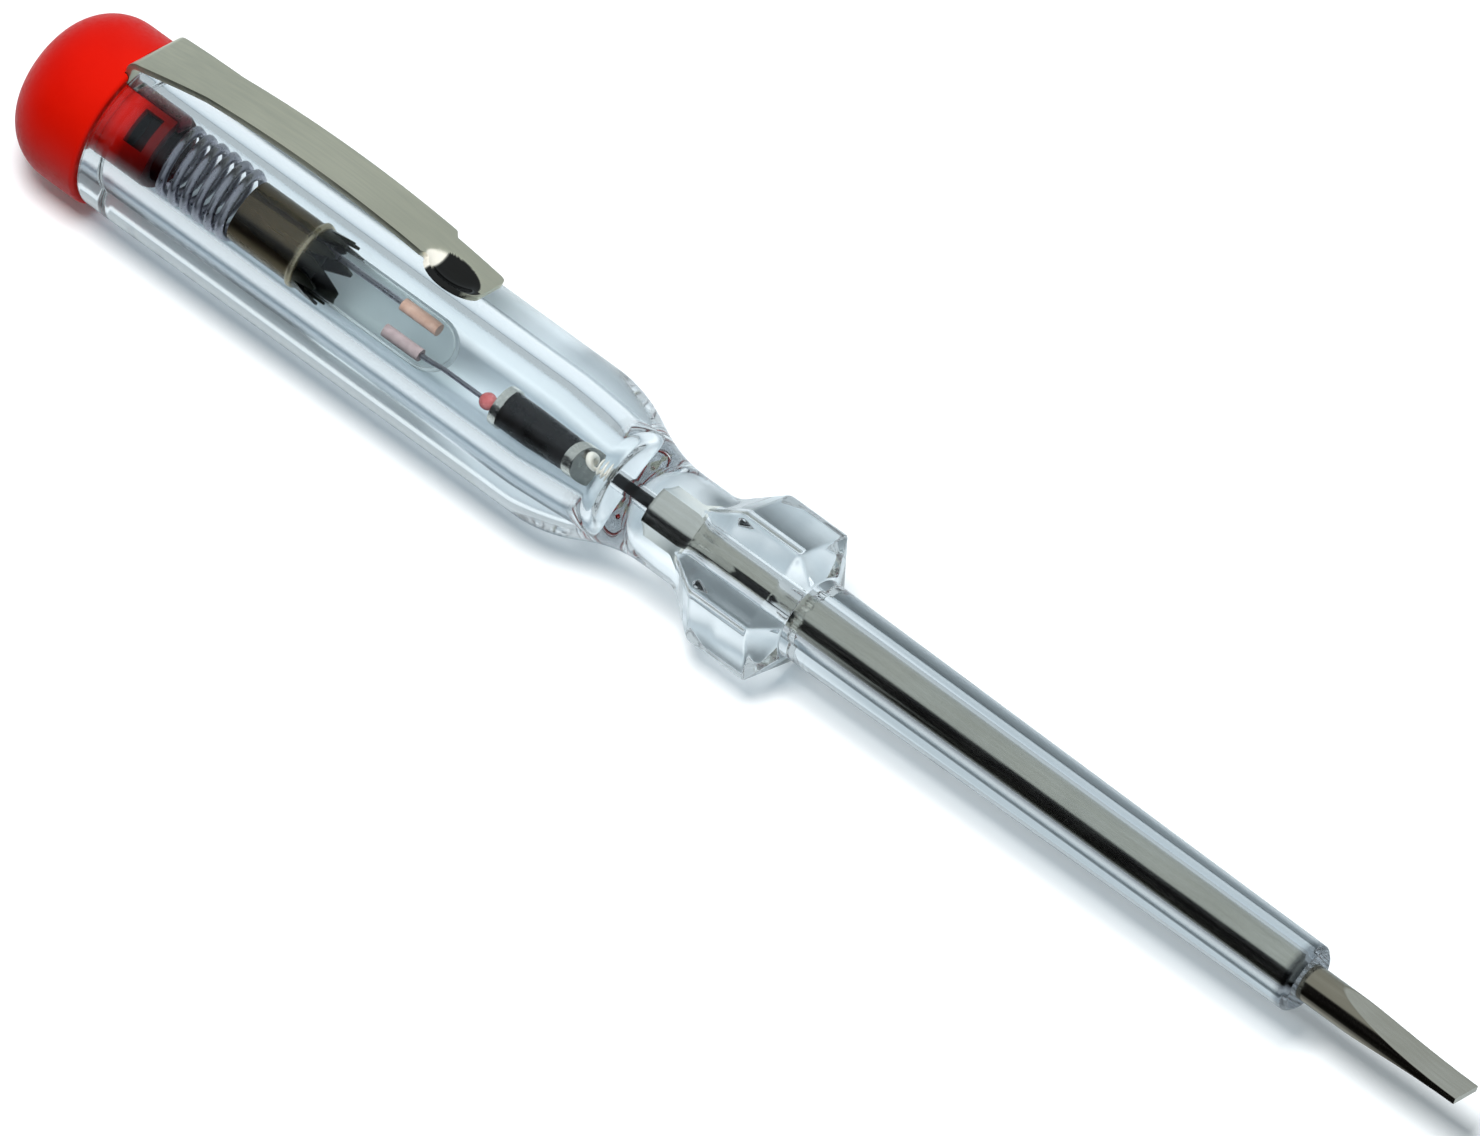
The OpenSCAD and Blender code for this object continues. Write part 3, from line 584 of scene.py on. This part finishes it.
def springTree():
    tree = bpy.data.node_groups.new("woundWire", "GeometryNodeTree")
    face = tree.interface
    face.new_socket("Geometry", in_out="INPUT", socket_type="NodeSocketGeometry")
    for label in ("Radius", "Wire", "Length", "Turns", "End Turns"):
        face.new_socket(label, in_out="INPUT", socket_type="NodeSocketFloat")
    face.new_socket("Rings", in_out="INPUT", socket_type="NodeSocketInt")
    face.new_socket("Finish", in_out="INPUT", socket_type="NodeSocketMaterial")
    face.new_socket("Geometry", in_out="OUTPUT", socket_type="NodeSocketGeometry")
    given = tree.nodes.new("NodeGroupInput").outputs
    out = tree.nodes.new("NodeGroupOutput")

    def maths(kind, a, b=None):
        return mathNode(tree, kind, a, b)

    line = addNode(tree, "GeometryNodeCurvePrimitiveLine", {"End": (0, 0, 1)})
    path = addNode(tree, "GeometryNodeResampleCurve", {"Curve": line.outputs[0], "Count": given["Rings"]})
    along = addNode(tree, "GeometryNodeSplineParameter").outputs["Factor"]
    angle = maths("MULTIPLY", maths("MULTIPLY", along, given["Turns"]), 2 * math.pi)
    x = maths("MULTIPLY", maths("COSINE", angle), given["Radius"])
    y = maths("MULTIPLY", maths("SINE", angle), given["Radius"])

    # closed turns at both ends, an even pitch between them
    share = maths("DIVIDE", given["End Turns"], given["Turns"])
    rise = maths("MULTIPLY", given["End Turns"], maths("MULTIPLY", given["Wire"], closedPitch))
    climbed = maths("SUBTRACT", given["Length"], given["Wire"])
    middle = maths("SUBTRACT", climbed, maths("MULTIPLY", rise, 2))
    rest = maths("SUBTRACT", 1, share)

    def climb(start, end, height):
        return spread(tree, along, 0, height, start, end)

    z = maths("ADD", climb(0, share, rise), climb(share, rest, middle))
    z = maths("ADD", maths("ADD", z, climb(rest, 1, rise)), maths("MULTIPLY", given["Wire"], 0.5))
    place = addNode(tree, "ShaderNodeCombineXYZ", {"X": x, "Y": y, "Z": z})
    wound = addNode(tree, "GeometryNodeSetPosition", {
        "Geometry": path.outputs[0], "Position": place.outputs[0]})
    section = addNode(tree, "GeometryNodeCurvePrimitiveCircle", {
        "Resolution": wireSides, "Radius": maths("MULTIPLY", given["Wire"], 0.5)})
    tube = addNode(tree, "GeometryNodeCurveToMesh", {
        "Curve": wound.outputs[0], "Profile Curve": section.outputs[0], "Fill Caps": True})
    smooth = addNode(tree, "GeometryNodeSetShadeSmooth", {"Geometry": tube.outputs[0]})
    real = addNode(tree, "GeometryNodeRealizeInstances", {"Geometry": smooth.outputs[0]})
    painted = addNode(tree, "GeometryNodeSetMaterial", {
        "Geometry": real.outputs[0], "Material": given["Finish"]})
    tree.links.new(painted.outputs[0], out.inputs[0])
    return tree


springMaker = springTree()


def woundPiece(name, values, rear, turned):
    holder = bpy.data.objects.new(name + "_maker", bpy.data.meshes.new(name + "_maker"))
    bpy.context.scene.collection.objects.link(holder)
    mod = holder.modifiers.new("wound", "NODES")
    mod.node_group = springMaker
    for socket in springMaker.interface.items_tree:
        if socket.in_out == "INPUT" and socket.name in values:
            mod[socket.identifier] = values[socket.name]
    evaluated = holder.evaluated_get(bpy.context.evaluated_depsgraph_get())
    mesh = bpy.data.meshes.new_from_object(evaluated)
    holder.modifiers.remove(mod)
    bpy.data.objects.remove(holder)
    # Z of the maker becomes the tool's axis
    lay = Matrix.Translation((station(rear), 0, axisZ)) @ Matrix.Rotation(math.radians(turned), 4, "X")
    mesh.transform(lay @ Matrix.Rotation(math.radians(90), 4, "Y"))
    piece = bpy.data.objects.new(name, mesh)
    bpy.context.scene.collection.objects.link(piece)
    return piece


rearSpringShape = {"Radius": 2.65 * mm, "Wire": 0.75 * mm, "Turns": 6.1, "End Turns": 0.6, "Rings": 260}
coilShape = {"Radius": 0.5 * mm, "Wire": 0.46 * mm, "Turns": 4.2, "End Turns": 0.5, "Rings": 130}
springTurn = -26  # degrees round the axis

rearSpringShape |= {"Length": (springFront - springRear) * mm, "Finish": finishes["wire"]}
rearSpring = woundPiece("rear_spring_wire", rearSpringShape, springRear, springTurn)
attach(rearSpring, "handle")
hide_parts("rear_spring")
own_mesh(rearSpring)

coilShape |= {"Length": (coilFront - coilRear) * mm, "Finish": finishes["coil"]}
contactCoil = woundPiece("contact_coil_wire", coilShape, coilRear, 0)
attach(contactCoil, "stack")
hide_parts("contact_coil")
print("wound wires made")


# neon lamp tube with a closed round nose

glassShape = {"outerR": 2.2, "wall": 0.35, "press": 1.4, "noseWall": 0.175, "domeSteps": 16, "segments": 96}


def buildLampGlass():
    g = glassShape
    inner = g["outerR"] - g["wall"]
    turns = [math.pi / 2 * k / g["domeSteps"] for k in range(g["domeSteps"] + 1)]

    def dome(centre, radius):
        return [(centre + radius * math.sin(a), radius * math.cos(a)) for a in turns]

    shells = [
        [(glassRear, 0.0), (glassRear, g["outerR"])] + dome(glassFront - g["outerR"], g["outerR"]),
        [(glassRear + g["press"], 0.0), (glassRear + g["press"], inner)]
        + dome(glassFront - g["outerR"] - g["noseWall"], inner),
    ]
    bm = bmesh.new()
    angles = [2 * math.pi * k / g["segments"] for k in range(g["segments"])]
    for shell in shells:
        rings = [[circlePoint(s, max(r, 0.0), a) for a in angles] for s, r in shell]
        ringLoft(bm, rings, False)
    # the ends of the shells close to points
    bmesh.ops.remove_doubles(bm, verts=bm.verts, dist=mergeDist)
    flat = [f for f in bm.faces if f.calc_area() < mergeDist ** 2]
    bmesh.ops.delete(bm, geom=flat, context="FACES")
    piece = pieceFrom("lamp_glass_tube", bm, "glass")
    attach(piece, "stack")
    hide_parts("lamp_glass")
    return piece


glassTube = buildLampGlass()
print("lamp glass:", len(glassTube.data.polygons), "faces")


# pocket clip: one bent strip with a pressed bowl, and its ring round the plug

clipShape = {
    "angle": 21, "thick": 0.5, "bevel": 0.1, "across": 40,
    "foot": 4.0, "bendR": 0.65, "bendTop": 7.3, "rootHalf": 3.0,
    "half": 2.25, "taper": 6.0, "tongueLen": 5.0, "tongueHalf": 1.65, "endR": 0.55,
    "shoulderLen": 0.7, "crest": 17.4, "rise": 1.4,
    "bowlAt": 2.6, "bowlSide": 1.5, "bowlHalfLen": 2.65, "bowlHalfWide": 1.7, "bowlFloor": 7.05,
    "rimSoft": 0.3, "rimNear": 0.3, "rimFar": 0.12, "rimFade": 0.15,
    "rimBlend": 0.3, "bowlPaintedGleamLen": 0.7, "paintedGleamEdge": 0.2, "paintedGleamFade": 0.1, "flexLen": 12.0,
}
sheetSoft = {"segments": 3, "angle": 50}
ringShape = {"innerR": 3.25, "outerR": 5.8, "thick": 0.46, "soft": 0.1, "segments": 120}
leafShape = {"half": 0.8, "thick": 0.33, "height": 2.97, "foot": 2.4, "bendR": 0.4, "bevel": 0.05}


def clipPoint(s, height, side):
    # side is towards the tool's near flank
    a = math.radians(clipShape["angle"])
    out = Vector((0, math.sin(a), math.cos(a)))
    flank = Vector((0, -math.cos(a), math.sin(a)))
    return Vector((station(s), 0, axisZ)) + (out * height + flank * side) * mm


def sheetPiece(path, halves, lift, thick, bevel, across):
    # a grid along (station, height) points, made a sheet with soft edges
    bm = bmesh.new()
    marks = [bm.verts.layers.float.new(name) for name in ("bowl", "paintedGleam")]
    rows = []
    for (s, height), (far, near) in zip(path, halves):
        row = []
        for k in range(across + 1):
            side = -far + (far + near) * k / across
            level, *shades = lift(s, height, side)
            vert = bm.verts.new(clipPoint(s, level, side))
            for mark, shade in zip(marks, shades):
                vert[mark] = shade
            row.append(vert)
        rows.append(row)
    for a, b in zip(rows, rows[1:]):
        for k in range(across):
            bm.faces.new((a[k], a[k + 1], b[k + 1], b[k]))
    bmesh.ops.recalc_face_normals(bm, faces=bm.faces)
    mesh = bpy.data.meshes.new("sheet")
    bm.to_mesh(mesh)
    bm.free()
    holder = bpy.data.objects.new("sheet_maker", mesh)
    bpy.context.scene.collection.objects.link(holder)
    wall = holder.modifiers.new("wall", "SOLIDIFY")
    wall.thickness = thick * mm
    wall.offset = 0
    wall.use_even_offset = True
    soft = holder.modifiers.new("soft", "BEVEL")
    soft.width = bevel * mm
    soft.segments = sheetSoft["segments"]
    soft.limit_method = "ANGLE"
    soft.angle_limit = math.radians(sheetSoft["angle"])
    made = bpy.data.meshes.new_from_object(holder.evaluated_get(bpy.context.evaluated_depsgraph_get()))
    bpy.data.objects.remove(holder)
    return made


def shareOf(length, value):
    return min(1.0, max(0.0, value / length))


def bowlLevel(s, side, plane, middle):
    # height of the pressed bowl's floor and its half width at the strip, from two arcs
    c = clipShape
    depth = plane - c["bowlFloor"]
    reach = (c["bowlHalfWide"] ** 2 + depth ** 2) / (2 * depth)
    bow = (c["bowlHalfLen"] ** 2 + depth ** 2) / (2 * depth)
    centre = c["bowlFloor"] + reach
    away = abs(s - middle)
    if away >= bow:
        return None, 0
    radius = reach - bow + math.sqrt(bow ** 2 - away ** 2)
    half = math.sqrt(max(radius ** 2 - (centre - plane) ** 2, 0)) if radius > 0 else 0
    offset = abs(side - c["bowlSide"])
    floor = centre - math.sqrt(radius ** 2 - offset ** 2) if radius > offset else None
    return floor, half


def buildClipSheet():
    c = clipShape
    archR = (c["crest"] ** 2 + c["rise"] ** 2) / (2 * c["rise"])
    crest = stripRear + c["crest"]
    tongue = stripFront - c["tongueLen"]
    middle = stripFront - c["bowlAt"]
    sheetRear = ringRear + c["thick"] / 2
    bendH = c["bendTop"] - c["bendR"]

    def arch(s):
        return c["bendTop"] + c["rise"] - archR + math.sqrt(archR ** 2 - (s - crest) ** 2)

    plane = arch(middle)
    path = [(sheetRear, height) for height in spanOf(c["foot"], bendH - 0.2, 0.3)]
    path += [(stripRear - c["bendR"] * math.cos(a), bendH + c["bendR"] * math.sin(a)) for a in
             (math.radians(turn) for turn in range(0, 81, 10))]
    bendEnd = len(path)
    stations = spanOf(stripRear + 0.3, tongue - 1.0, 0.4) + spanOf(tongue - 0.9, stripFront, 0.1)
    path += [(s, arch(s)) for s in stations]

    def plainHalf(s):
        # narrows from the bend, then a shoulder leads to the tongue and its round corners
        if s < stripRear + c["taper"]:
            return c["rootHalf"] + (c["half"] - c["rootHalf"]) * max(0, s - stripRear) / c["taper"]
        shoulder = shareOf(c["shoulderLen"], s - tongue + c["shoulderLen"])
        half = c["half"] + (c["tongueHalf"] - c["half"]) * shoulder * shoulder * (3 - 2 * shoulder)
        past = max(0, s - stripFront + c["endR"])
        return half - c["endR"] + math.sqrt(max(c["endR"] ** 2 - past ** 2, 0))

    halves = []
    for i, (s, _) in enumerate(path):
        half = c["rootHalf"] if i < bendEnd else plainHalf(s)
        rim = c["bowlSide"] + bowlLevel(s, 0, plane, middle)[1]
        near = half if i < bendEnd or rim <= c["bowlSide"] else smoothMax(half, rim, c["rimBlend"])
        halves.append((half, near))

    def press(s, height, side):
        floor = bowlLevel(s, side, plane, middle)[0] if s > tongue - 1.5 else None
        if floor is None or floor > height + c["rimSoft"]:
            return height, 0.0, 0.0
        # painted dark reflection from a little outside its rim, but for the painted highlight at its rear end
        rim = c["rimNear"] if side > c["bowlSide"] else c["rimFar"]
        bowlShadeShare = shareOf(c["rimFade"], height - floor + rim)
        front = shareOf(c["paintedGleamEdge"], s - middle + c["bowlHalfLen"] - c["bowlPaintedGleamLen"])
        pale = shareOf(c["paintedGleamFade"], height - floor) * (1 - front)
        return -smoothMax(-height, -floor, c["rimSoft"]), bowlShadeShare * front, pale

    made = sheetPiece(path, halves, press, c["thick"], c["bevel"], c["across"])
    bm = bmesh.new()
    bm.from_mesh(made)
    piece = pieceFrom("clip_sheet", bm, "clip")
    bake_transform(piece)
    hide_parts("clip_strip")
    return piece


def buildClipRing():
    r, leaf = ringShape, leafShape
    middle = ringRear + clipShape["thick"] / 2
    rear, front = middle - r["thick"] / 2, middle + r["thick"] / 2
    outline = rounded([(rear, r["innerR"], 0), (rear, r["outerR"], r["soft"]),
                       (front, r["outerR"], r["soft"]), (front, r["innerR"], 0)], hold=0.02)
    bm = bmesh.new()
    angles = [2 * math.pi * k / r["segments"] for k in range(r["segments"])]
    ringLoft(bm, [[circlePoint(p.x, p.y, a) for a in angles] for p in outline], True)
    # leaf along the plug, turned in under the spring
    turn = leafFront - leaf["thick"] / 2
    path = rounded([(middle, leaf["height"], 0), (turn, leaf["height"], leaf["bendR"]),
                    (turn, leaf["foot"], 0)])
    made = sheetPiece([(p.x, p.y) for p in path], [(leaf["half"], leaf["half"])] * len(path),
                      lambda s, height, side: (height, 0.0, 0.0), leaf["thick"], leaf["bevel"], 4)
    bm.from_mesh(made)
    piece = pieceFrom("clip_ring", bm, "ring")
    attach(piece, "cap")
    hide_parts("clip_root")
    return piece


clipSheet = buildClipSheet()
clipRing = buildClipRing()
print("clip made:", len(clipSheet.data.polygons) + len(clipRing.data.polygons), "faces")


# finishes of the carried-over pieces

nodeFinish = {
    "end_cap": "red", "blade_shank": "shank", "lamp_cap": "cup", "lamp_cement": "cement",
    "electrode_rear": "electrode", "electrode_front": "electrodePale",
    "lead_rear": "wire", "lead_front": "wire", "seal_bead": "bead",
    "resistor_body": "resistor", "resistor_rear_cap": "rim", "resistor_front_cap": "rim",
}
for nodeName, finish in nodeFinish.items():
    mesh = nodes[nodeName].data
    mesh.materials.clear()
    mesh.materials.append(finishes[finish])
print("carried-over pieces dressed:", len(nodeFinish))


# camera at the photograph's angle

view = {
    "leanToCamera": 21.5,   # axis against the picture plane, the tip being nearer
    "roundAxis": 30.0,      # from straight up towards -Y
    "slope": 36.0,          # fall of the axis in the picture
    "middle": 69.34,        # station in the middle of the picture
    "pxPerMm": 13.45, "pxWide": 1480, "lens": 600.0, "sensor": 36.0,
}


def placeCamera():
    lean = math.radians(view["leanToCamera"])
    around = math.radians(view["roundAxis"])
    back = Vector((math.sin(lean), -math.cos(lean) * math.sin(around), math.cos(lean) * math.cos(around)))
    axis = Vector((1, 0, 0))
    across = (axis - back * axis.dot(back)).normalized()
    right = Matrix.Rotation(math.radians(view["slope"]), 3, back) @ across
    up = back.cross(right)
    distance = view["pxWide"] / view["pxPerMm"] * mm * view["lens"] / view["sensor"]
    cam = bpy.data.cameras.new("camera")
    cam.lens = view["lens"]
    cam.sensor_width = view["sensor"]
    cam.clip_start = 0.05
    cam.clip_end = 50
    obj = bpy.data.objects.new("camera", cam)
    bpy.context.scene.collection.objects.link(obj)
    turn = Matrix((right, up, back)).transposed().to_4x4()
    aim = Vector((station(view["middle"]), 0, axisZ))
    obj.matrix_world = Matrix.Translation(aim + back * distance) @ turn
    bpy.context.scene.camera = obj


placeCamera()


# pale floor, soft box and studio walls

studio = {
    "floorSize": 8.0, "floorColour": (0.88, 0.9, 0.91, 1), "floorGlow": 0.05,
    "tableTurn": (-12, 2),  # from the collar's front, the handle's table becomes the sleeve's
    "sleeveTableShade": [(-0.016, (0.006, 0.006, 0.006)), (-0.008, (0.25, 0.27, 0.29)),
                    (-0.005, (0.46, 0.5, 0.52)), (0.012, (0.38, 0.43, 0.46)), (0.09, (0.4, 0.46, 0.5))],
    "handleTableShade": [(-0.055, (0.006, 0.006, 0.006)), (-0.035, (0.2, 0.22, 0.24)),
                    (-0.012, (0.52, 0.56, 0.58)), (-0.004, (0.7, 0.76, 0.8)),
                    (0.004, (0.9, 0.94, 0.96)), (0.012, (0.66, 0.71, 0.74)), (0.09, (0.5, 0.56, 0.6))],
    "keyPower": 5.6, "keySize": 0.26, "keyFrom": (0, -0.15, 0.7), "fill": (0.15, 1.1),
    "wallLow": (0.46, 0.52, 0.55), "wallHigh": (0.56, 0.62, 0.65),
    "darkLean": (42, 54), "darkAlong": -0.37, "darkReach": (0.2, 0.36), "darkColour": (0.01, 0.01, 0.012, 1),
}


def buildFloor():
    half = studio["floorSize"] / 2
    mesh = bpy.data.meshes.new("floor")
    corners = [(-half, -half, 0), (half, -half, 0), (half, half, 0), (-half, half, 0)]
    mesh.from_pydata(corners, [], [(0, 1, 2, 3)])
    floor = bpy.data.objects.new("floor", mesh)
    bpy.context.scene.collection.objects.link(floor)
    mat, tree, shader, coords = newMaterial("paleFloor")
    # the table is white in the picture; what metal and plastic show of it is painted shade:
    # greyer, most of all by the sleeve where a painted shadow lies, and dark on the near side
    seen = addNode(tree, "ShaderNodeLightPath").outputs["Is Camera Ray"]
    x, y = addNode(tree, "ShaderNodeSeparateXYZ", {0: coords}).outputs[:2]
    start, end = (station(collarFront + s) for s in studio["tableTurn"])
    handleTableShade = colourStops(tree, y, studio["handleTableShade"])
    sleeveTableShade = colourStops(tree, y, studio["sleeveTableShade"])
    table = mixColours(tree, spread(tree, x, 0, 1, start, end), handleTableShade, sleeveTableShade)
    colour = mixColours(tree, seen, table, studio["floorColour"])
    tree.links.new(colour, shader.inputs["Base Color"])
    shader.inputs["Roughness"].default_value = 0.9
    shader.inputs["Specular IOR Level"].default_value = 0.0
    shader.inputs["Emission Color"].default_value = (1, 1, 1, 1)
    glow = mathNode(tree, "MULTIPLY", seen, studio["floorGlow"])
    tree.links.new(glow, shader.inputs["Emission Strength"])
    mesh.materials.append(mat)


def addSoftBox(name, power, size, place):
    lamp = bpy.data.lights.new(name, "AREA")
    lamp.energy = power
    lamp.size = size
    obj = bpy.data.objects.new(name, lamp)
    bpy.context.scene.collection.objects.link(obj)
    obj.location = place
    obj.rotation_mode = "QUATERNION"
    obj.rotation_quaternion = (-Vector(place)).to_track_quat("-Z", "Y")
    obj.visible_glossy = False
    obj.visible_transmission = False


def buildWalls():
    world = bpy.data.worlds.new("studio")
    bpy.context.scene.world = world
    world.use_nodes = True
    tree = world.node_tree
    back = tree.nodes["Background"]
    aim = addNode(tree, "ShaderNodeTexCoord").outputs["Generated"]
    x, y, z = addNode(tree, "ShaderNodeSeparateXYZ", {0: aim}).outputs
    walls = twoTone(tree, z, studio["wallLow"], studio["wallHigh"], 0.1, 0.85)
    # dark end of the room on the near side, from half way up down to the floor
    lean = mathNode(tree, "ARCTAN2", mathNode(tree, "MULTIPLY", y, -1), z)
    down = easedSpread(tree, lean, 0, 1, *(math.radians(turn) for turn in studio["darkLean"]))
    off = mathNode(tree, "ABSOLUTE", mathNode(tree, "SUBTRACT", x, studio["darkAlong"]))
    across = easedSpread(tree, off, 1, 0, *studio["darkReach"])
    room = mixColours(tree, mathNode(tree, "MULTIPLY", down, across), walls, studio["darkColour"])
    # metal and plastic show the room as it is, and other surfaces are lit more from the far side
    path = addNode(tree, "ShaderNodeLightPath").outputs
    mirrored = mathNode(tree, "MAXIMUM", path["Is Glossy Ray"], path["Is Transmission Ray"])
    fill = spread(tree, y, *studio["fill"], -1, 1)
    level = addNode(tree, "ShaderNodeMix", {0: mirrored, 2: fill, 3: 1.0}).outputs[0]
    lit = addNode(tree, "ShaderNodeVectorMath", {0: room, "Scale": level}, operation="SCALE").outputs[0]
    seen = mixColours(tree, path["Is Camera Ray"], lit, (1, 1, 1, 1))
    tree.links.new(seen, back.inputs["Color"])
    back.inputs["Strength"].default_value = 1.0


buildFloor()
addSoftBox("softBoxKey", studio["keyPower"], studio["keySize"], studio["keyFrom"])
buildWalls()
bpy.context.scene.view_settings.view_transform = "Standard"

# light turns many times in the clear handle
lightTurns = {
    "max_bounces": 32, "glossy_bounces": 24, "transmission_bounces": 32, "transparent_max_bounces": 24,
}
for kind, count in lightTurns.items():
    setattr(bpy.context.scene.cycles, kind, count)
print("studio ready")
